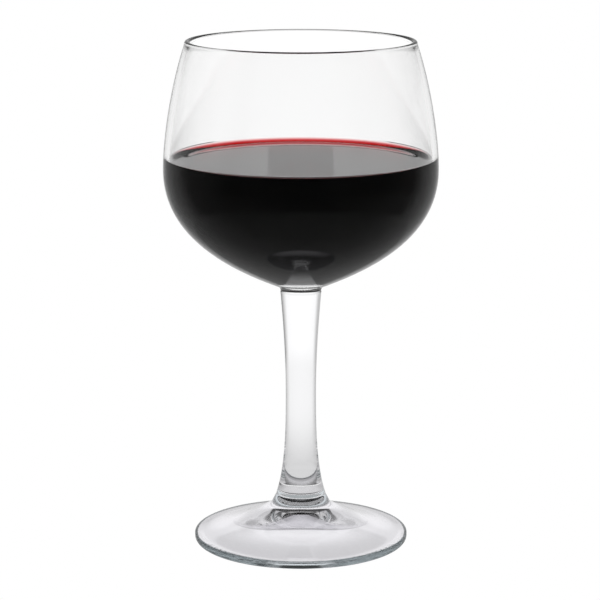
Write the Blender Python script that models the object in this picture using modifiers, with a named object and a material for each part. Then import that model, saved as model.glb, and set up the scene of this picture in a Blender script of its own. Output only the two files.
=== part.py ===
"""Wine glass on a stem, filled to the widest point of its bowl.

Four pieces: the blown bowl, the drawn stem, the pressed foot and the wine that the bowl holds.
The bowl, stem and foot are three gathers of glass that are fused while hot, one on the other.
Metres, +Z up. The origin is on the axis, where the foot stands on the table.
"""

import math

import bpy

# Driving dimensions.
HEIGHT = 0.1730
RIM_RADIUS = 0.0390
BOWL_RADIUS = 0.0465
WIDEST_HEIGHT = 0.1295
BOWL_BASE_RADIUS = 0.0079
BOWL_BASE_HEIGHT = 0.0894
BOWL_NECK_HEIGHT = 0.0877
RIM_WALL = 0.0017
WIDEST_WALL = 0.0020
LOW_WALL = 0.0026
BOWL_FLOOR = 0.0055
FLOOR_BLEND = 0.0016
BEAD_RADIUS = 0.00095

STEM_TOP_RADIUS = 0.0070
STEM_WAIST_RADIUS = 0.0052
STEM_WAIST_HEIGHT = 0.0513
STEM_BASE_RADIUS = 0.0084
STEM_BASE_HEIGHT = 0.0162

FOOT_RADIUS = 0.0368
FOOT_EDGE = 0.0028
FOOT_EDGE_TOP_ROUND = 0.0006
FOOT_EDGE_LOW_ROUND = 0.0014
FOOT_COLLAR_RADIUS = 0.0100
FOOT_COLLAR_HEIGHT = 0.0131
FOOT_TOE_RADIUS = 0.0114
FOOT_TOE_HEIGHT = 0.0117
RECESS_RADIUS = 0.0335
RECESS_DEPTH = 0.0091

WINE_HEIGHT = 0.1323
MENISCUS_RISE = 0.0018
MENISCUS_WIDTH = 0.0045

# Clearance between solids that touch on the real glass.
FUSED_GAP = 0.0003

# How the outlines leave their ends: angles from the axis or the horizontal, and curve handle lengths.
SHOULDER_LEAN = math.radians(18.9)
SHOULDER_HANDLES = (0.0144, 0.0104)
BELLY_RISE = math.radians(22.3)
BELLY_HANDLES = (0.0209, 0.0213)
STEM_TOP_LEAN = math.radians(5.0)
STEM_TOP_HANDLES = (0.0107, 0.0143)
STEM_BASE_LEAN = math.radians(17.3)
STEM_BASE_HANDLES = (0.0116, 0.0100)
FLARE_ANGLE = math.radians(27.0)
FLARE_HANDLE = 0.0080
SKIRT_ANGLE = math.radians(6.0)
SKIRT_HANDLE = 0.0130
RECESS_BANK = (0.0240, 0.0007)
RECESS_CROWN_RADIUS = 0.0062

SEGMENTS = 48
MERGE_DISTANCE = 0.00001


def clear_scene():
    """Start from an empty scene."""
    for item in list(bpy.data.objects):
        bpy.data.objects.remove(item, do_unlink=True)


def step_from(point, angle, distance):
    """The point a distance away at an angle from the horizontal, in the plane of a profile."""
    return (point[0] + distance * math.cos(angle), point[1] + distance * math.sin(angle))


def curve_points(start, start_handle, end_handle, end, steps):
    """Points (radius, height) along a cubic curve, its two ends included."""
    knots = (start, start_handle, end_handle, end)
    points = []
    for step in range(steps + 1):
        t = step / steps
        weights = ((1 - t) ** 3, 3 * t * (1 - t) ** 2, 3 * t * t * (1 - t), t ** 3)
        radius = sum(weight * knot[0] for weight, knot in zip(weights, knots))
        height = sum(weight * knot[1] for weight, knot in zip(weights, knots))
        points.append((radius, height))
    return points


def arc_points(centre, radius, start_degrees, end_degrees, steps):
    """Points (radius, height) on a circle's arc, its two ends included."""
    sweep = end_degrees - start_degrees
    return [step_from(centre, math.radians(start_degrees + sweep * step / steps), radius)
            for step in range(steps + 1)]


def offset_inward(points, thickness_at):
    """An outline that runs down its outer side, moved inward by a thickness that depends on height."""
    moved = []
    last = len(points) - 1
    for index, (radius, height) in enumerate(points):
        before = points[max(index - 1, 0)]
        after = points[min(index + 1, last)]
        run, rise = after[0] - before[0], after[1] - before[1]
        scale = thickness_at(height) / math.hypot(run, rise)
        moved.append((radius + rise * scale, height - run * scale))
    return moved


def wall_thickness(height):
    """Wall of the bowl: thin at the rim, and thicker towards the base, where the gather began."""
    if height >= WIDEST_HEIGHT:
        share = (height - WIDEST_HEIGHT) / (HEIGHT - WIDEST_HEIGHT)
        return WIDEST_WALL + share * (RIM_WALL - WIDEST_WALL)
    share = (WIDEST_HEIGHT - height) / (WIDEST_HEIGHT - BOWL_BASE_HEIGHT)
    return WIDEST_WALL + share ** 2 * (LOW_WALL - WIDEST_WALL)


def outer_outline():
    """Outer side of the bowl, from under the rim bead down to its short neck."""
    top = (RIM_RADIUS - 0.1 * BEAD_RADIUS, HEIGHT - BEAD_RADIUS)
    widest = (BOWL_RADIUS, WIDEST_HEIGHT)
    base = (BOWL_BASE_RADIUS, BOWL_BASE_HEIGHT)
    lean = SHOULDER_LEAN - math.pi / 2
    shoulder = curve_points(top, step_from(top, lean, SHOULDER_HANDLES[0]),
                            (widest[0], widest[1] + SHOULDER_HANDLES[1]), widest, 7)
    belly = curve_points(widest, (widest[0], widest[1] - BELLY_HANDLES[0]),
                         step_from(base, BELLY_RISE, BELLY_HANDLES[1]), base, 12)
    return shoulder + belly[1:]


def inner_outline():
    """Inner side of the bowl, from under the rim bead down to the middle of its rounded floor."""
    floor_height = BOWL_BASE_HEIGHT + BOWL_FLOOR
    wall = [point for point in offset_inward(outer_outline(), wall_thickness)
            if point[1] > floor_height + FLOOR_BLEND]
    start, before = wall[-1], wall[-2]
    slope = math.atan2(start[1] - before[1], start[0] - before[0])
    floor = curve_points(start, step_from(start, slope, start[0] / 3), (start[0] / 2, floor_height),
                         (0.0, floor_height), 4)
    return wall + floor[1:]


def bowl_profile():
    """Section of the bowl: up its inner side, round the rim bead, down its outer side and short neck."""
    bead = arc_points((RIM_RADIUS - BEAD_RADIUS, HEIGHT - BEAD_RADIUS), BEAD_RADIUS, 190, 0, 6)
    base = (BOWL_BASE_RADIUS, BOWL_BASE_HEIGHT)
    neck = curve_points(base, step_from(base, BELLY_RISE - math.pi, 0.0005),
                        (STEM_TOP_RADIUS, BOWL_NECK_HEIGHT + 0.0008), (STEM_TOP_RADIUS, BOWL_NECK_HEIGHT), 3)
    return inner_outline()[:0:-1] + bead + outer_outline()[1:] + neck[1:] + [(0.0, BOWL_NECK_HEIGHT)]


def wine_profile():
    """Section of the wine: its level surface, its rise at the glass, and the bowl's inner side."""
    wall = offset_inward(inner_outline(), lambda height: FUSED_GAP)
    edge_height = WINE_HEIGHT + MENISCUS_RISE
    above = [point for point in wall if point[1] >= edge_height][-1]
    below = [point for point in wall if point[1] < edge_height][0]
    share = (above[1] - edge_height) / (above[1] - below[1])
    edge = (above[0] + share * (below[0] - above[0]), edge_height)
    level = (edge[0] - MENISCUS_WIDTH, WINE_HEIGHT)
    surface = curve_points(level, (edge[0] - MENISCUS_WIDTH / 3, WINE_HEIGHT),
                           (edge[0], WINE_HEIGHT + MENISCUS_RISE / 3), edge, 4)
    side = [point for point in wall if point[1] < WINE_HEIGHT and point[0] > FUSED_GAP]
    return [(0.0, WINE_HEIGHT)] + surface + side + [(0.0, wall[-1][1])]


def stem_profile():
    """Section of the stem, from its top face down past its waist to its bottom face."""
    top = (STEM_TOP_RADIUS, BOWL_NECK_HEIGHT - FUSED_GAP)
    waist = (STEM_WAIST_RADIUS, STEM_WAIST_HEIGHT)
    base = (STEM_BASE_RADIUS, STEM_BASE_HEIGHT)
    upper = curve_points(top, step_from(top, -math.pi / 2 - STEM_TOP_LEAN, STEM_TOP_HANDLES[0]),
                         (waist[0], waist[1] + STEM_TOP_HANDLES[1]), waist, 7)
    lower = curve_points(waist, (waist[0], waist[1] - STEM_BASE_HANDLES[0]),
                         step_from(base, math.pi / 2 + STEM_BASE_LEAN, STEM_BASE_HANDLES[1]), base, 7)
    return [(0.0, top[1])] + upper + lower[1:] + [(0.0, base[1])]


def foot_profile():
    """Section of the foot: collar, hollow flare, rounded edge, bearing ring and domed recess."""
    neck = (STEM_BASE_RADIUS, STEM_BASE_HEIGHT - FUSED_GAP)
    collar = (FOOT_COLLAR_RADIUS, FOOT_COLLAR_HEIGHT)
    toe = (FOOT_TOE_RADIUS, FOOT_TOE_HEIGHT)
    skirt = (FOOT_RADIUS - FOOT_EDGE_TOP_ROUND, FOOT_EDGE)
    flare = curve_points(toe, step_from(toe, -FLARE_ANGLE, FLARE_HANDLE),
                         step_from(skirt, math.pi - SKIRT_ANGLE, SKIRT_HANDLE), skirt, 7)
    top_corner = arc_points((skirt[0], FOOT_EDGE - FOOT_EDGE_TOP_ROUND), FOOT_EDGE_TOP_ROUND, 90, 0, 3)
    low_corner = arc_points((FOOT_RADIUS - FOOT_EDGE_LOW_ROUND, FOOT_EDGE_LOW_ROUND), FOOT_EDGE_LOW_ROUND,
                            0, -90, 4)
    recess = curve_points((RECESS_RADIUS, 0.0), RECESS_BANK, (RECESS_CROWN_RADIUS, RECESS_DEPTH),
                          (0.0, RECESS_DEPTH), 12)
    return [(0.0, neck[1]), neck, collar] + flare + top_corner[1:] + low_corner + recess


def turned(name, profile, material, collection):
    """One turned piece: a profile that starts and ends on the axis, with a Screw modifier."""
    mesh = bpy.data.meshes.new(name)
    vertices = [(radius, 0.0, height) for radius, height in profile]
    edges = [(index, index + 1) for index in range(len(profile) - 1)]
    mesh.from_pydata(vertices, edges, [])
    mesh.materials.append(material)
    piece = bpy.data.objects.new(name, mesh)
    collection.objects.link(piece)
    screw = piece.modifiers.new("turning", "SCREW")
    screw.axis = "Z"
    screw.angle = math.tau
    screw.steps = SEGMENTS
    screw.render_steps = SEGMENTS
    screw.use_merge_vertices = True
    screw.merge_threshold = MERGE_DISTANCE
    screw.use_smooth_shade = True
    return piece


def clear_liquid(name, colour, roughness, ior):
    """A see-through Principled material, for glass or wine."""
    material = bpy.data.materials.new(name)
    material.use_nodes = True
    shader = material.node_tree.nodes["Principled BSDF"]
    shader.inputs["Base Color"].default_value = (*colour, 1.0)
    shader.inputs["Metallic"].default_value = 0.0
    shader.inputs["Roughness"].default_value = roughness
    shader.inputs["Transmission Weight"].default_value = 1.0
    shader.inputs["IOR"].default_value = ior
    material.diffuse_color = (*colour, 1.0)
    return material


def build():
    """Make the four pieces, from the table up."""
    clear_scene()
    collection = bpy.data.collections.new("wine_glass")
    bpy.context.scene.collection.children.link(collection)
    foot_glass = clear_liquid("foot_glass", (0.88, 0.88, 0.91), 0.03, 1.52)
    stem_glass = clear_liquid("stem_glass", (0.90, 0.90, 0.92), 0.02, 1.52)
    bowl_glass = clear_liquid("bowl_glass", (0.94, 0.94, 0.95), 0.01, 1.52)
    red_wine = clear_liquid("red_wine", (0.05, 0.002, 0.004), 0.0, 1.34)
    turned("foot", foot_profile(), foot_glass, collection)
    turned("stem", stem_profile(), stem_glass, collection)
    turned("bowl", bowl_profile(), bowl_glass, collection)
    turned("wine", wine_profile(), red_wine, collection)


build()
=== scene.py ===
"""Wine glass: fine turned surfaces, glass and wine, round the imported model. Run as a script in Blender."""

import math

import bmesh
import bpy
from mathutils import Matrix, Vector


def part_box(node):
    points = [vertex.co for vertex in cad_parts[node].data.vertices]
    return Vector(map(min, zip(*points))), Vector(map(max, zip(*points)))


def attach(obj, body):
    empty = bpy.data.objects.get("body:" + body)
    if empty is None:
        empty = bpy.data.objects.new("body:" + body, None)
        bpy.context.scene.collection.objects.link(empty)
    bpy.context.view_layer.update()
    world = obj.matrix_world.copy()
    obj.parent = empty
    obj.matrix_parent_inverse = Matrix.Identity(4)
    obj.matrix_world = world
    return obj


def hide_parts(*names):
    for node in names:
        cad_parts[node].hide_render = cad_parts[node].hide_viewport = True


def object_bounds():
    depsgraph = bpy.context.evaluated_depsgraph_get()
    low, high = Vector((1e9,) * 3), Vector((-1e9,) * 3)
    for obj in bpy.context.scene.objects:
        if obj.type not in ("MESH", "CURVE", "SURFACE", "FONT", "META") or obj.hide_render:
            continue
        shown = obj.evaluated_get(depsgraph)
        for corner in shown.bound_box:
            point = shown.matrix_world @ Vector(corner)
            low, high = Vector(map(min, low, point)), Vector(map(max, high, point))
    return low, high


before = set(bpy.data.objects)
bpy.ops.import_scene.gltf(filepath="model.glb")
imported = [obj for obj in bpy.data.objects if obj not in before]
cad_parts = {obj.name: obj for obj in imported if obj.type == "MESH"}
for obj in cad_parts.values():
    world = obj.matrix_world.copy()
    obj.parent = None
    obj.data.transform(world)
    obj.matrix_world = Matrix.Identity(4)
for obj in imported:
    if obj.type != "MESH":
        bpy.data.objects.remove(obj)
CAD_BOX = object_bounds()

bl_info = {
    "name": "Wine Glass Builder",
    "version": (1, 0, 0),
    "blender": (4, 5, 0),
    "location": "3D View > Sidebar > Wine Glass",
    "description": "Makes a stemmed wine glass, piece by piece, with its wine and a small studio",
    "category": "Add Mesh",
}

MM = 0.001
SEGMENTS = 192
WINE_IOR = 1.34
GLASS_IOR = 1.52
POLE_MERGE = 0.000001
# The wine lies this far inside the glass that it wets, and its body this far under its top layer.
CONTACT_GAP = 0.00001
# Two fused faces lie this far apart.
SEAM_GAP = 0.00001
# Thickness of the wine's top layer, which is clear because light crosses so little of it.
SKIN = 0.0001
# How far the wine climbs the glass at its edge.
WINE_RISE = 0.0018
# A face whose middle is this near to a seam's height belongs to the seam.
ON_SEAM = 0.000005
# Edges between faces that turn more than this stay crisp.
SHARP_ANGLE = math.radians(32)

BOWL_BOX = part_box("bowl")
STEM_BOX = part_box("stem")
FOOT_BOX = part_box("foot")
WINE_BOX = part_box("wine")


# ---------------------------------------------------------------- outlines

def step_from(point, angle, distance):
    """The point a distance away at an angle from the horizontal, in the plane of a profile."""
    return (point[0] + distance * math.cos(angle), point[1] + distance * math.sin(angle))


def curve_points(start, start_handle, end_handle, end, steps):
    """Points (radius, height) along a cubic curve, its two ends included."""
    knots = (start, start_handle, end_handle, end)
    points = []
    for step in range(steps + 1):
        t = step / steps
        weights = ((1 - t) ** 3, 3 * t * (1 - t) ** 2, 3 * t * t * (1 - t), t ** 3)
        radius = sum(weight * knot[0] for weight, knot in zip(weights, knots))
        height = sum(weight * knot[1] for weight, knot in zip(weights, knots))
        points.append((radius, height))
    return points


def arc_points(centre, radius, start_degrees, end_degrees, steps):
    """Points (radius, height) on a circle's arc, its two ends included."""
    sweep = end_degrees - start_degrees
    return [step_from(centre, math.radians(start_degrees + sweep * step / steps), radius)
            for step in range(steps + 1)]


def offset_inward(points, thickness_at):
    """An outline that runs down its outer side, moved inward by a thickness that depends on height."""
    moved = []
    last = len(points) - 1
    for index, (radius, height) in enumerate(points):
        before = points[max(index - 1, 0)]
        after = points[min(index + 1, last)]
        run, rise = after[0] - before[0], after[1] - before[1]
        scale = thickness_at(height) / math.hypot(run, rise)
        moved.append((radius + rise * scale, height - run * scale))
    return moved


def at_height(points, height):
    """The point where a falling outline passes a height."""
    for above, below in zip(points, points[1:]):
        if above[1] >= height > below[1]:
            share = (above[1] - height) / (above[1] - below[1])
            return (above[0] + share * (below[0] - above[0]), height)
    raise ValueError(f"the outline doesn't pass the height {height}")


# ---------------------------------------------------------------- sizes

class BowlSizes(bpy.types.PropertyGroup):
    rim_radius: bpy.props.FloatProperty(
        name="Rim radius", description="Outer radius of the bowl's rim",
        default=0.0390, min=0.02, unit="LENGTH")
    widest_radius: bpy.props.FloatProperty(
        name="Widest radius", description="Outer radius of the bowl where it is widest",
        default=BOWL_BOX[1].x, min=0.02, unit="LENGTH")
    widest_height: bpy.props.FloatProperty(
        name="Widest height", description="Height over the table where the bowl is widest",
        default=0.1295, unit="LENGTH")
    base_radius: bpy.props.FloatProperty(
        name="Base radius", description="Radius where the bowl's underside meets its short neck",
        default=0.0079, unit="LENGTH")
    base_height: bpy.props.FloatProperty(
        name="Base height", description="Height over the table where the underside meets the neck",
        default=0.0894, unit="LENGTH")
    rim_wall: bpy.props.FloatProperty(
        name="Rim wall", description="Thickness of the bowl's wall under its rim",
        default=0.0017, unit="LENGTH")
    widest_wall: bpy.props.FloatProperty(
        name="Widest wall", description="Thickness of the wall where the bowl is widest",
        default=0.0020, unit="LENGTH")
    low_wall: bpy.props.FloatProperty(
        name="Low wall", description="Thickness of the wall near the bowl's base",
        default=0.0026, unit="LENGTH")
    floor: bpy.props.FloatProperty(
        name="Floor", description="Thickness of glass between the wine and the stem",
        default=0.0055, unit="LENGTH")
    bead_radius: bpy.props.FloatProperty(
        name="Rim bead radius", description="Radius of the round bead that the flame leaves on the rim",
        default=0.00095, unit="LENGTH")


class StemSizes(bpy.types.PropertyGroup):
    top_radius: bpy.props.FloatProperty(
        name="Top radius", description="Radius of the stem under the bowl",
        default=0.0070, unit="LENGTH")
    waist_radius: bpy.props.FloatProperty(
        name="Waist radius", description="Radius of the stem where it is thinnest",
        default=0.0052, unit="LENGTH")
    waist_height: bpy.props.FloatProperty(
        name="Waist height", description="Height over the table where the stem is thinnest",
        default=0.0513, unit="LENGTH")
    base_radius: bpy.props.FloatProperty(
        name="Base radius", description="Radius of the stem on the foot",
        default=STEM_BOX[1].x, unit="LENGTH")


class FootSizes(bpy.types.PropertyGroup):
    radius: bpy.props.FloatProperty(
        name="Radius", description="Radius of the foot", default=FOOT_BOX[1].x, unit="LENGTH")
    edge: bpy.props.FloatProperty(
        name="Edge", description="Thickness of the foot at its edge", default=0.0028, unit="LENGTH")
    collar_radius: bpy.props.FloatProperty(
        name="Collar radius", description="Radius of the collar under the stem, at its foot",
        default=0.0100, unit="LENGTH")
    collar_height: bpy.props.FloatProperty(
        name="Collar height", description="Height over the table where the collar's side ends",
        default=0.0131, unit="LENGTH")
    toe_radius: bpy.props.FloatProperty(
        name="Toe radius", description="Radius where the collar's fillet runs out into the flare",
        default=0.0114, unit="LENGTH")
    toe_height: bpy.props.FloatProperty(
        name="Toe height", description="Height over the table where the fillet runs out",
        default=0.0117, unit="LENGTH")
    recess: bpy.props.FloatProperty(
        name="Recess", description="Depth of the domed recess under the foot", default=0.0091,
        unit="LENGTH")
    recess_radius: bpy.props.FloatProperty(
        name="Recess radius", description="Radius of the recess where the bearing ring starts",
        default=0.0335, unit="LENGTH")


class WineSizes(bpy.types.PropertyGroup):
    level: bpy.props.FloatProperty(
        name="Level", description="Height of the wine's surface over the table",
        default=WINE_BOX[1].z - WINE_RISE, unit="LENGTH")
    rise: bpy.props.FloatProperty(
        name="Rise", description="How far the wine climbs the glass at its edge",
        default=WINE_RISE, unit="LENGTH")
    rise_width: bpy.props.FloatProperty(
        name="Rise width", description="Width of the wine's raised edge",
        default=0.0045, unit="LENGTH")
    tint: bpy.props.FloatVectorProperty(
        name="Tint", description="Colour that the wine lets through where it is thin",
        default=(0.96, 0.0, 0.04), min=0.0, max=1.0, subtype="COLOR")
    depth: bpy.props.FloatProperty(
        name="Depth of colour", description="How strongly the wine darkens light, per metre",
        default=3200.0, min=0.0)


SHOULDER_LEAN = math.radians(18.9)
SHOULDER_HANDLES = (0.0144, 0.0104)
BELLY_RISE = math.radians(22.3)
BELLY_HANDLES = (0.0209, 0.0213)
STEM_TOP_LEAN = math.radians(5.0)
STEM_TOP_HANDLES = (0.0107, 0.0143)
STEM_BASE_LEAN = math.radians(17.3)
STEM_BASE_HANDLES = (0.0116, 0.0100)
FLARE_ANGLE = math.radians(27.0)
FLARE_HANDLE = 0.0080
SKIRT_ANGLE = math.radians(6.0)
SKIRT_HANDLE = 0.0130
RECESS_BANK = (0.0240, 0.0007)
RECESS_CROWN_RADIUS = 0.0062
EDGE_TOP_ROUND = 0.0006
EDGE_LOW_ROUND = 0.0014
FILLET_HANDLE = 0.0006
NECK_HANDLE = 0.0005
# Each fused seam sits in a groove of this depth and height.
NOTCH_DEPTH = 0.00012
NOTCH_HEIGHT = 0.00025
# The wall ends this far over the floor, and a curve joins the two.
FLOOR_BLEND = 0.0016


def outer_outline():
    """Outer side of the bowl, from under the rim bead down to where the stem is fused on."""
    bowl = bpy.context.scene.bowl_sizes
    top = (bowl.rim_radius - 0.1 * bowl.bead_radius, BOWL_BOX[1].z - bowl.bead_radius)
    widest = (bowl.widest_radius, bowl.widest_height)
    base = (bowl.base_radius, bowl.base_height)
    shoulder = curve_points(top, step_from(top, SHOULDER_LEAN - math.pi / 2, SHOULDER_HANDLES[0]),
                            (widest[0], widest[1] + SHOULDER_HANDLES[1]), widest, 40)
    belly = curve_points(widest, (widest[0], widest[1] - BELLY_HANDLES[0]),
                         step_from(base, BELLY_RISE, BELLY_HANDLES[1]), base, 72)
    return shoulder + belly[1:]


def inner_outline():
    """Inner side of the bowl, from under the rim bead down to the middle of its rounded floor."""
    bowl = bpy.context.scene.bowl_sizes
    floor_height = bowl.base_height + bowl.floor

    def wall_thickness(height):
        if height >= bowl.widest_height:
            share = (height - bowl.widest_height) / (BOWL_BOX[1].z - bowl.widest_height)
            return bowl.widest_wall + share * (bowl.rim_wall - bowl.widest_wall)
        share = (bowl.widest_height - height) / (bowl.widest_height - bowl.base_height)
        return bowl.widest_wall + share ** 2 * (bowl.low_wall - bowl.widest_wall)

    wall = [point for point in offset_inward(outer_outline(), wall_thickness)
            if point[1] > floor_height + FLOOR_BLEND]
    start, before = wall[-1], wall[-2]
    slope = math.atan2(start[1] - before[1], start[0] - before[0])
    floor = curve_points(start, step_from(start, slope, start[0] / 3), (start[0] / 2, floor_height),
                         (0.0, floor_height), 16)
    return wall + floor[1:]


# ---------------------------------------------------------------- mesh and material tools

def turned(name, profile, kind_of):
    """A closed turned piece. kind_of gives each face's material index from its radius and height."""
    form = bmesh.new()
    corners = [form.verts.new((radius, 0.0, height)) for radius, height in profile]
    edges = [form.edges.new(pair) for pair in zip(corners, corners[1:])]
    bmesh.ops.spin(form, geom=corners + edges, cent=(0, 0, 0), axis=(0, 0, 1),
                   angle=math.tau, steps=SEGMENTS, use_merge=True)
    bmesh.ops.remove_doubles(form, verts=form.verts, dist=POLE_MERGE)
    bmesh.ops.recalc_face_normals(form, faces=form.faces)
    for face in form.faces:
        centre = face.calc_center_median()
        face.smooth = True
        face.material_index = kind_of(math.hypot(centre.x, centre.y), centre.z)
    mesh = bpy.data.meshes.new(name)
    form.to_mesh(mesh)
    form.free()
    mesh.set_sharp_from_angle(angle=SHARP_ANGLE)
    piece = bpy.data.objects.new(name, mesh)
    bpy.context.scene.collection.objects.link(piece)
    return piece


def linear(colour_hex):
    """An sRGB hex colour as linear red, green and blue with alpha 1."""
    channels = [int(colour_hex[at:at + 2], 16) / 255 for at in (1, 3, 5)]
    return [c / 12.92 if c <= 0.04045 else ((c + 0.055) / 1.055) ** 2.4 for c in channels] + [1.0]


def add_node(material, kind, settings=None, inputs=None):
    """Adds one node. settings are its properties; inputs are values, or sockets to link from."""
    tree = material.node_tree
    node = tree.nodes.new(kind)
    for key, value in (settings or {}).items():
        setattr(node, key, value)
    for key, value in (inputs or {}).items():
        if isinstance(value, bpy.types.NodeSocket):
            tree.links.new(value, node.inputs[key])
        else:
            node.inputs[key].default_value = value
    return node


def new_material(name):
    """An empty node material with its output."""
    material = bpy.data.materials.new(name)
    material.use_nodes = True
    material.node_tree.nodes.clear()
    return material, add_node(material, "ShaderNodeOutputMaterial")


def soda_lime_glass(name, tint, waviness, wave_mm, roughness=0.0):
    """Clear soda-lime glass. Working it hot leaves a slow waviness, which bends what is seen through it.

    It is decoloured, which can leave a faint violet cast. Edge-on, its iron shows grey-green; the darker
    grey-blue tint given to the foot's edge is mostly painted shade. The wine's top layer has this glass's IOR
    too, so its surface shines a little more than real wine's would.
    """
    material, output = new_material(name)
    place = add_node(material, "ShaderNodeTexCoord")
    waves = add_node(material, "ShaderNodeTexNoise", {"noise_dimensions": "3D"},
                     {"Vector": place.outputs["Object"], "Scale": 1 / (wave_mm * MM), "Detail": 1.0,
                      "Roughness": 0.4})
    bump = add_node(material, "ShaderNodeBump", None,
                    {"Strength": 1.0, "Distance": waviness * MM, "Height": waves.outputs["Fac"]})
    glass = add_node(material, "ShaderNodeBsdfPrincipled", None,
                     {"Base Color": linear(tint), "Metallic": 0.0, "Roughness": roughness,
                      "IOR": GLASS_IOR, "Transmission Weight": 1.0, "Normal": bump.outputs["Normal"]})
    material.node_tree.links.new(glass.outputs["BSDF"], output.inputs["Surface"])
    return material


def index_matched_contact(name):
    """Where glass is fused to glass, or wetted by wine: light crosses this face unbent."""
    material, output = new_material(name)
    clear = add_node(material, "ShaderNodeBsdfTransparent", None, {"Color": linear("#ffffff")})
    material.node_tree.links.new(clear.outputs["BSDF"], output.inputs["Surface"])
    return material


def red_wine(name, ior):
    """Still red wine: clear and almost black where it is deep, ruby where it thins out at its edge."""
    wine = bpy.context.scene.wine_sizes
    material, output = new_material(name)
    liquid = add_node(material, "ShaderNodeBsdfPrincipled", None,
                      {"Base Color": linear("#ffffff"), "Metallic": 0.0, "Roughness": 0.0, "IOR": ior,
                       "Transmission Weight": 1.0})
    depth = add_node(material, "ShaderNodeVolumeAbsorption", None,
                     {"Color": (*wine.tint, 1.0), "Density": wine.depth})
    material.node_tree.links.new(liquid.outputs["BSDF"], output.inputs["Surface"])
    material.node_tree.links.new(depth.outputs["Volume"], output.inputs["Volume"])
    return material


# ---------------------------------------------------------------- pieces

class WINEGLASS_OT_foot(bpy.types.Operator):
    """Make the foot: collar, hollow flare, round edge, bearing ring and domed recess"""
    bl_idname = "wineglass.foot"
    bl_label = "Foot"

    def execute(self, context):
        foot = context.scene.foot_sizes
        seam = STEM_BOX[0].z - SEAM_GAP
        neck_radius = context.scene.stem_sizes.base_radius
        notch = (neck_radius - NOTCH_DEPTH, seam)
        neck = (neck_radius + NOTCH_DEPTH / 2, seam - NOTCH_HEIGHT)
        collar = (foot.collar_radius, foot.collar_height)
        toe = (foot.toe_radius, foot.toe_height)
        side = curve_points(notch, (neck[0], seam - NOTCH_HEIGHT / 4), neck, collar, 14)
        lean = math.atan2(collar[1] - neck[1], collar[0] - neck[0])
        fillet = curve_points(collar, step_from(collar, lean, FILLET_HANDLE),
                              step_from(toe, math.pi - FLARE_ANGLE, FILLET_HANDLE), toe, 10)
        skirt = (foot.radius - EDGE_TOP_ROUND, foot.edge)
        flare = curve_points(toe, step_from(toe, -FLARE_ANGLE, FLARE_HANDLE),
                             step_from(skirt, math.pi - SKIRT_ANGLE, SKIRT_HANDLE), skirt, 48)
        top_corner = arc_points((skirt[0], foot.edge - EDGE_TOP_ROUND), EDGE_TOP_ROUND, 90, 0, 8)
        low_corner = arc_points((foot.radius - EDGE_LOW_ROUND, EDGE_LOW_ROUND), EDGE_LOW_ROUND, 0, -90, 12)
        recess = curve_points((foot.recess_radius, 0.0), RECESS_BANK, (RECESS_CROWN_RADIUS, foot.recess),
                              (0.0, foot.recess), 64)
        profile = [(0.0, seam)] + side + fillet[1:] + flare[1:] + top_corner[1:] + low_corner + recess

        def kind_of(radius, height):
            if abs(height - seam) < ON_SEAM:
                return 1
            # Faces of the round edge take the edge glass, whose grey-blue tint is mostly painted shade.
            return 2 if radius > foot.radius - EDGE_TOP_ROUND and height < foot.edge else 0

        piece = turned("foot_glass", profile, kind_of)
        piece.data.materials.append(soda_lime_glass("soda-lime glass, pressed", "#f8f7fb", 0.004, 9.0))
        piece.data.materials.append(index_matched_contact("fused glass, foot"))
        # The edge's grey-blue tint darkens all light that crosses the edge. It is partly the iron's real
        # grey-green seen edge-on, and mostly painted shade for the grey band the edge shows.
        piece.data.materials.append(
            soda_lime_glass("soda-lime glass, fire-polished edge", "#aeb9be", 0.004, 9.0, 0.12))
        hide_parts("foot")
        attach(piece, "glass")
        return {"FINISHED"}


class WINEGLASS_OT_stem(bpy.types.Operator):
    """Make the waisted stem"""
    bl_idname = "wineglass.stem"
    bl_label = "Stem"

    def execute(self, context):
        stem = context.scene.stem_sizes
        top = (stem.top_radius, BOWL_BOX[0].z - SEAM_GAP)
        waist = (stem.waist_radius, stem.waist_height)
        base = (stem.base_radius, STEM_BOX[0].z)
        start = (top[0], top[1] - NOTCH_HEIGHT)
        finish = (base[0], base[1] + NOTCH_HEIGHT)
        upper = curve_points(start, step_from(start, -math.pi / 2 - STEM_TOP_LEAN, STEM_TOP_HANDLES[0]),
                             (waist[0], waist[1] + STEM_TOP_HANDLES[1]), waist, 48)
        lower = curve_points(waist, (waist[0], waist[1] - STEM_BASE_HANDLES[0]),
                             step_from(finish, math.pi / 2 + STEM_BASE_LEAN, STEM_BASE_HANDLES[1]),
                             finish, 48)
        top_notch = (top[0] - NOTCH_DEPTH, top[1])
        base_notch = (base[0] - NOTCH_DEPTH, base[1])
        profile = [(0.0, top[1]), top_notch] + upper + lower[1:] + [base_notch, (0.0, base[1])]
        ends = (top[1], base[1])
        piece = turned("stem_glass", profile,
                       lambda radius, height: 1 if min(abs(height - end) for end in ends) < ON_SEAM else 0)
        piece.data.materials.append(soda_lime_glass("soda-lime glass, drawn", "#fcfcfd", 0.002, 14.0))
        piece.data.materials.append(index_matched_contact("fused glass, stem"))
        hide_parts("stem")
        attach(piece, "glass")
        return {"FINISHED"}


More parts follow.
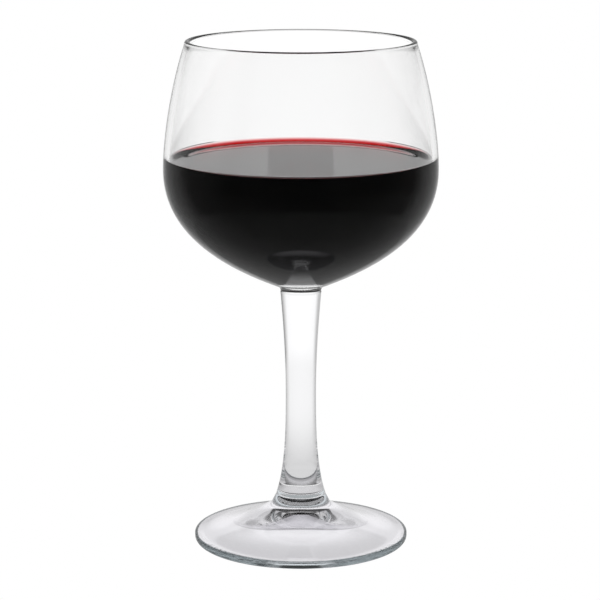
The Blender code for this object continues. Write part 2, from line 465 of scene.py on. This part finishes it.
class WINEGLASS_OT_bowl(bpy.types.Operator):
    """Make the blown bowl with its fire-polished rim bead"""
    bl_idname = "wineglass.bowl"
    bl_label = "Bowl"

    def execute(self, context):
        bowl = context.scene.bowl_sizes
        wine = context.scene.wine_sizes
        wet_height = wine.level + wine.rise
        inner = inner_outline()
        wet_edge = at_height(inner, wet_height)
        inner = [p for p in inner if p[1] > wet_height] + [wet_edge] + [p for p in inner if p[1] < wet_height]
        bead = arc_points((bowl.rim_radius - bowl.bead_radius, BOWL_BOX[1].z - bowl.bead_radius),
                          bowl.bead_radius, 190, 0, 28)
        seam = BOWL_BOX[0].z
        notch = (context.scene.stem_sizes.top_radius - NOTCH_DEPTH, seam)
        underside = outer_outline()
        neck = curve_points(underside[-1], step_from(underside[-1], BELLY_RISE - math.pi, NECK_HANDLE),
                            (notch[0] + NOTCH_DEPTH, seam + 3 * NOTCH_HEIGHT), notch, 14)
        profile = inner[:0:-1] + bead + underside[1:] + neck[1:] + [(0.0, seam)]
        wall_middle = offset_inward(outer_outline(), lambda height: bowl.rim_wall / 2)

        def kind_of(radius, height):
            if abs(height - seam) < ON_SEAM:
                return 1
            if height > wet_height:
                return 0
            if height > wall_middle[-1][1]:
                return 1 if radius < at_height(wall_middle, height)[0] else 0
            return 0

        piece = turned("bowl_glass", profile, kind_of)
        piece.data.materials.append(soda_lime_glass("soda-lime glass, blown", "#fefefe", 0.003, 12.0))
        piece.data.materials.append(index_matched_contact("fused and wetted glass, bowl"))
        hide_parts("bowl")
        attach(piece, "glass")
        return {"FINISHED"}


class WINEGLASS_OT_wine(bpy.types.Operator):
    """Fill the bowl with wine, with its raised edge at the glass"""
    bl_idname = "wineglass.wine"
    bl_label = "Wine"

    def execute(self, context):
        wine = context.scene.wine_sizes
        wall = offset_inward(inner_outline(), lambda height: CONTACT_GAP)
        edge = at_height(wall, wine.level + wine.rise)
        level = (edge[0] - wine.rise_width, wine.level)
        climb = curve_points(level, (edge[0] - wine.rise_width / 3, wine.level),
                             (edge[0], wine.level + wine.rise / 3), edge, 16)
        surface = [(0.0, wine.level)] + climb
        under = [(min(radius, at_height(wall, height - SKIN)[0]), height - SKIN)
                 for radius, height in surface]

        skin = turned("wine_surface", surface + under[::-1], lambda radius, height: 0)
        for face in skin.data.polygons:
            face.material_index = 0 if face.normal.z > 0.1 else 1
        skin.data.materials.append(soda_lime_glass("red wine, surface", "#ffffff", 0.0, 12.0))
        skin.data.materials.append(index_matched_contact("wine under its surface"))
        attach(skin, "wine")

        top = [(radius, height - CONTACT_GAP) for radius, height in under]
        side = [point for point in wall if point[1] < top[-1][1] and point[0] > CONTACT_GAP]
        body = turned("red_wine", top + side + [(0.0, wall[-1][1])], lambda radius, height: 0)
        body.data.materials.append(red_wine("red wine", WINE_IOR / GLASS_IOR))
        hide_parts("wine")
        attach(body, "wine")
        return {"FINISHED"}


# ---------------------------------------------------------------- studio

class StudioSettings(bpy.types.PropertyGroup):
    distance: bpy.props.FloatProperty(
        name="Camera distance", description="Level distance from the camera to the glass's axis",
        default=0.8115, unit="LENGTH")
    height: bpy.props.FloatProperty(
        name="Camera height", description="Height of the camera over the table",
        default=0.2558, unit="LENGTH")
    pitch: bpy.props.FloatProperty(
        name="Camera pitch", description="How far the camera looks down",
        default=math.radians(11.93), subtype="ANGLE")
    lens: bpy.props.FloatProperty(
        name="Lens", description="Focal length on a 36 mm wide sensor, in millimetres", default=145.8)
    backdrop: bpy.props.FloatProperty(
        name="Backdrop", description="Brightness of the white backdrop", default=1.0)


TENT_RADIUS = 0.62
TENT_STRENGTH = 1.5
TABLE_RADIUS = 3.0
TABLE_DROP = 0.0001
CAMERA_SHIFT = -0.0003
# Light turns round inside the foot and the stem many times before it leaves them.
LIGHT_BOUNCES = 24

# Each zone is (height of its lower edge, blend, tones), from the bottom up. Tones run from the camera's
# side (0) to the far side (1), each as (share of a half turn, brightness). They are set so that
# each part of the glass is as light or dark as it should be seen from the camera.
MIRRORED = (
    (-1.0, 0.0, ((0.0, 0.06), (0.45, 0.06), (0.66, 0.14), (0.82, 0.17), (0.89, 0.2), (0.94, 0.4),
                 (1.0, 0.6))),
    (-0.5, 0.02, ((0.0, 0.0), (0.3, 0.02), (0.58, 0.05), (0.66, 0.15), (0.82, 0.24), (0.92, 0.45))),
)
SEEN_THROUGH = (
    (-1.0, 0.0, ((0.0, 0.3), (0.4, 0.5), (0.56, 0.45), (0.64, 0.08), (1.0, 0.12))),
    (-0.72, 0.14, ((0.0, 0.3), (0.5, 0.34), (0.7, 0.45), (0.8, 0.48), (1.0, 0.5))),
    (-0.40, 0.1, ((0.0, 0.3), (0.5, 0.34), (0.66, 0.44), (0.8, 0.66), (1.0, 0.68))),
    (-0.215, 0.03, ((0.0, 0.4), (0.22, 0.3), (0.4, 0.05), (0.6, 0.08), (0.7, 0.4), (0.8, 0.72),
                    (1.0, 0.755))),
    (0.13, 0.05, ((0.0, 0.4), (0.2, 0.3), (0.3, 0.03), (0.66, 0.05), (0.8, 0.52), (1.0, 0.52))),
    (0.27, 0.03, ((0.0, 0.35), (0.22, 0.25), (0.3, 0.03), (1.0, 0.04))),
)
# Each card is (way to its middle, half its width in degrees, blend in degrees, brightness).
SEEN_CARDS = (
    ((-1.0, 0.35, -0.1), 37.0, 8.0, 0.4),
    ((0.0, 0.42, -0.907), 2.2, 0.15, 0.4),
)


def tone_curve(material, value, stops):
    """A grey ramp over 0 to 1 of a value, as a colour socket. stops are (place, brightness)."""
    ramp = add_node(material, "ShaderNodeValToRGB", None, {"Fac": value})
    elements = ramp.color_ramp.elements
    while len(elements) < len(stops):
        elements.new(0.5)
    for element, (place, brightness) in zip(elements, stops):
        element.position = place
        element.color = (brightness, brightness, brightness, 1.0)
    return ramp.outputs["Color"]


def tent(name, camera, middle, zones, cards=()):
    """A light tent round the glass that turns with the camera. Only glass and wine see it.

    zones run from the bottom up, each as (height of its lower edge, blend, tones). Heights are shares
    of the tent's radius over its middle. cards are round patches on it, each as (way to its middle as
    right, up and towards the camera; half its width in degrees; blend in degrees; brightness).
    """
    form = bmesh.new()
    bmesh.ops.create_uvsphere(form, u_segments=64, v_segments=48, radius=TENT_RADIUS)
    mesh = bpy.data.meshes.new(name)
    form.to_mesh(mesh)
    form.free()
    shell = bpy.data.objects.new(name, mesh)
    bpy.context.scene.collection.objects.link(shell)
    towards = camera.matrix_world.translation - middle
    rise = math.asin(towards.normalized().z)

    material, output = new_material(name)
    place = add_node(material, "ShaderNodeTexCoord")
    way = add_node(material, "ShaderNodeVectorMath", {"operation": "NORMALIZE"},
                   {0: place.outputs["Object"]})
    axes = add_node(material, "ShaderNodeSeparateXYZ", None, {"Vector": way.outputs["Vector"]})
    cosine = add_node(material, "ShaderNodeMath", {"operation": "ARCCOSINE", "use_clamp": False},
                      {0: axes.outputs["Z"]})
    turn = add_node(material, "ShaderNodeMath", {"operation": "DIVIDE"}, {0: cosine.outputs[0], 1: math.pi})
    up = add_node(material, "ShaderNodeVectorMath", {"operation": "DOT_PRODUCT"},
                  {0: way.outputs["Vector"], 1: (0.0, math.cos(rise), math.sin(rise))})
    tone = tone_curve(material, turn.outputs[0], zones[0][2])
    for edge, blend, stops in zones[1:]:
        above = add_node(material, "ShaderNodeMapRange", {"interpolation_type": "SMOOTHSTEP"},
                         {"Value": up.outputs["Value"], "From Min": edge - blend, "From Max": edge + blend})
        zone = add_node(material, "ShaderNodeMix", {"data_type": "RGBA"},
                        {0: above.outputs["Result"], 6: tone,
                         7: tone_curve(material, turn.outputs[0], stops)})
        tone = zone.outputs[2]
    for centre, half, blend, brightness in cards:
        near = add_node(material, "ShaderNodeVectorMath", {"operation": "DOT_PRODUCT"},
                        {0: way.outputs["Vector"], 1: Vector(centre).normalized()})
        inside = add_node(material, "ShaderNodeMapRange", {"interpolation_type": "SMOOTHSTEP"},
                          {"Value": near.outputs["Value"],
                           "From Min": math.cos(math.radians(half + blend)),
                           "From Max": math.cos(math.radians(half - blend))})
        card = add_node(material, "ShaderNodeMix", {"data_type": "RGBA"},
                        {0: inside.outputs["Result"], 6: tone, 7: (brightness, brightness, brightness, 1.0)})
        tone = card.outputs[2]
    glow = add_node(material, "ShaderNodeEmission", None, {"Color": tone, "Strength": TENT_STRENGTH})
    material.node_tree.links.new(glow.outputs["Emission"], output.inputs["Surface"])
    mesh.materials.append(material)

    shell.rotation_mode = "QUATERNION"
    shell.rotation_quaternion = towards.to_track_quat("Z", "Y")
    shell.location = middle
    bpy.context.view_layer.update()
    world = shell.matrix_world.copy()
    shell.parent = camera
    shell.matrix_parent_inverse = camera.matrix_world.inverted()
    shell.matrix_world = world
    shell.visible_camera = False
    shell.visible_diffuse = False
    shell.visible_shadow = False
    shell.visible_volume_scatter = False
    return shell


class WINEGLASS_OT_studio(bpy.types.Operator):
    """Set up the camera, the white table, the white backdrop and the two light tents"""
    bl_idname = "wineglass.studio"
    bl_label = "Studio"

    def execute(self, context):
        scene = context.scene
        studio = scene.studio_settings
        scene.view_settings.view_transform = "Standard"
        scene.cycles.max_bounces = LIGHT_BOUNCES
        scene.cycles.glossy_bounces = LIGHT_BOUNCES
        scene.cycles.transmission_bounces = LIGHT_BOUNCES
        lens = bpy.data.cameras.new("camera")
        lens.lens = studio.lens
        lens.sensor_width = 36.0
        lens.clip_start = 0.01
        camera = bpy.data.objects.new("camera", lens)
        scene.collection.objects.link(camera)
        camera.location = (CAMERA_SHIFT, -studio.distance, studio.height)
        camera.rotation_euler = (math.pi / 2 - studio.pitch, 0.0, 0.0)
        scene.camera = camera
        bpy.context.view_layer.update()

        world = bpy.data.worlds.new("white backdrop")
        scene.world = world
        world.use_nodes = True
        world.node_tree.nodes["Background"].inputs["Color"].default_value = (1.0, 1.0, 1.0, 1.0)
        world.node_tree.nodes["Background"].inputs["Strength"].default_value = studio.backdrop

        form = bmesh.new()
        bmesh.ops.create_circle(form, cap_ends=True, segments=96, radius=TABLE_RADIUS)
        mesh = bpy.data.meshes.new("table")
        form.to_mesh(mesh)
        form.free()
        mesh.transform(Matrix.Translation((0.0, 0.0, -TABLE_DROP)))
        table = bpy.data.objects.new("table", mesh)
        scene.collection.objects.link(table)
        material, output = new_material("back-lit white acrylic table")
        glow = add_node(material, "ShaderNodeEmission", None,
                        {"Color": (1.0, 1.0, 1.0, 1.0), "Strength": 1.0})
        material.node_tree.links.new(glow.outputs["Emission"], output.inputs["Surface"])
        mesh.materials.append(material)
        table.visible_glossy = False
        table.visible_transmission = False

        middle = Vector((0.0, 0.0, CAD_BOX[1].z / 2))
        mirrored = tent("tent_mirrored", camera, middle, MIRRORED)
        mirrored.visible_transmission = False
        seen = tent("tent_seen_through", camera, middle, SEEN_THROUGH, SEEN_CARDS)
        seen.visible_glossy = False
        return {"FINISHED"}


class WINEGLASS_PT_builder(bpy.types.Panel):
    """Lists the pieces in the order in which they are made"""
    bl_idname = "WINEGLASS_PT_builder"
    bl_label = "Wine Glass"
    bl_space_type = "VIEW_3D"
    bl_region_type = "UI"
    bl_category = "Wine Glass"

    def draw(self, context):
        for operator in OPERATORS:
            self.layout.operator(operator.bl_idname)


SETTINGS = {
    "bowl_sizes": BowlSizes,
    "stem_sizes": StemSizes,
    "foot_sizes": FootSizes,
    "wine_sizes": WineSizes,
    "studio_settings": StudioSettings,
}
OPERATORS = (WINEGLASS_OT_foot, WINEGLASS_OT_stem, WINEGLASS_OT_bowl, WINEGLASS_OT_wine,
             WINEGLASS_OT_studio)


def register():
    for name, group in SETTINGS.items():
        bpy.utils.register_class(group)
        setattr(bpy.types.Scene, name, bpy.props.PointerProperty(type=group))
    for operator in OPERATORS:
        bpy.utils.register_class(operator)
    bpy.utils.register_class(WINEGLASS_PT_builder)


def unregister():
    bpy.utils.unregister_class(WINEGLASS_PT_builder)
    for operator in reversed(OPERATORS):
        bpy.utils.unregister_class(operator)
    for name, group in SETTINGS.items():
        delattr(bpy.types.Scene, name)
        bpy.utils.unregister_class(group)


def main():
    register()
    bpy.ops.wineglass.foot()
    bpy.ops.wineglass.stem()
    bpy.ops.wineglass.bowl()
    bpy.ops.wineglass.wine()
    bpy.ops.wineglass.studio()


if __name__ == "__main__":
    main()
